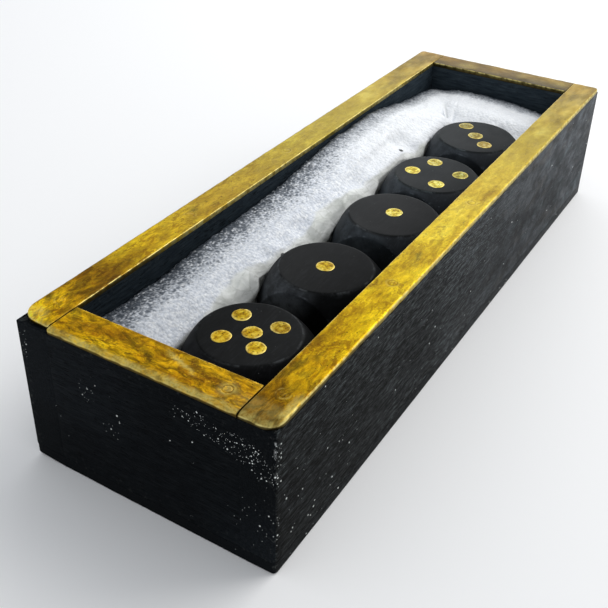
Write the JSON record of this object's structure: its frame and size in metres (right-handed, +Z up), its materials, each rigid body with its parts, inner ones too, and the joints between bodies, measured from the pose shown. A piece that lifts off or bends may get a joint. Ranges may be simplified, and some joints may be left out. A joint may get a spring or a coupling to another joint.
{
  "type": "boxed dice set",
  "caption": "Narrow open wooden box with a flush brass rim, holding a row of round-cornered wooden dice with brass pips, bedded in white packing foam.",
  "frame": {"origin": "centre of the footprint, on the surface that the box stands on", "axes": "+X along the box, from the end with the first die to the end with the foam; +Y across it, towards the side packed with foam; +Z up"},
  "size_m": [0.15, 0.049, 0.0295],
  "materials": {
    "ebonised_wood": "ebonised open-grain wood, matt, dusty",
    "die_wood": "fine-grained dark wood, matt, lightly scuffed",
    "aged_brass": "filed flush, tarnished in patches",
    "pip_brass": "filed flush with the face, mottled",
    "nail_steel": "dull, slightly rusted",
    "packing_foam": "expanded polyethylene foam, translucent cells"
  },
  "bodies": {
    "box": {"bottom_board": "ebonised_wood", "side_wall_front": "ebonised_wood", "side_wall_back": "ebonised_wood", "end_wall_near": "ebonised_wood", "end_wall_far": "ebonised_wood", "rim_strip_front": "aged_brass", "rim_strip_back": "aged_brass", "rim_strip_near": "aged_brass", "rim_strip_far": "aged_brass", "rim_pins": "aged_brass", "base_nails": "nail_steel", "foam_base_pad": "packing_foam"},
    "foam": {"foam_side_pad": "packing_foam", "foam_end_pad": "packing_foam"},
    "die_a": {"die_1": "die_wood", "die_1_pips": "pip_brass"},
    "die_b": {"die_2": "die_wood", "die_2_pips": "pip_brass"},
    "die_c": {"die_3": "die_wood", "die_3_pips": "pip_brass"},
    "die_d": {"die_4": "die_wood", "die_4_pips": "pip_brass"},
    "die_e": {"die_5": "die_wood", "die_5_pips": "pip_brass"}
  },
  "joints": [
    {"name": "foam_lift", "type": "slide", "parent": "box", "child": "foam", "axis": [0, 0, 1], "range_m": [0, 0.04]},
    {"name": "die_a_lift", "type": "slide", "parent": "box", "child": "die_a", "axis": [0, 0, 1], "range_m": [0, 0.04]},
    {"name": "die_b_lift", "type": "slide", "parent": "box", "child": "die_b", "axis": [0, 0, 1], "range_m": [0, 0.04]},
    {"name": "die_c_lift", "type": "slide", "parent": "box", "child": "die_c", "axis": [0, 0, 1], "range_m": [0, 0.04]},
    {"name": "die_d_lift", "type": "slide", "parent": "box", "child": "die_d", "axis": [0, 0, 1], "range_m": [0, 0.04]},
    {"name": "die_e_lift", "type": "slide", "parent": "box", "child": "die_e", "axis": [0, 0, 1], "range_m": [0, 0.04]}
  ]
}
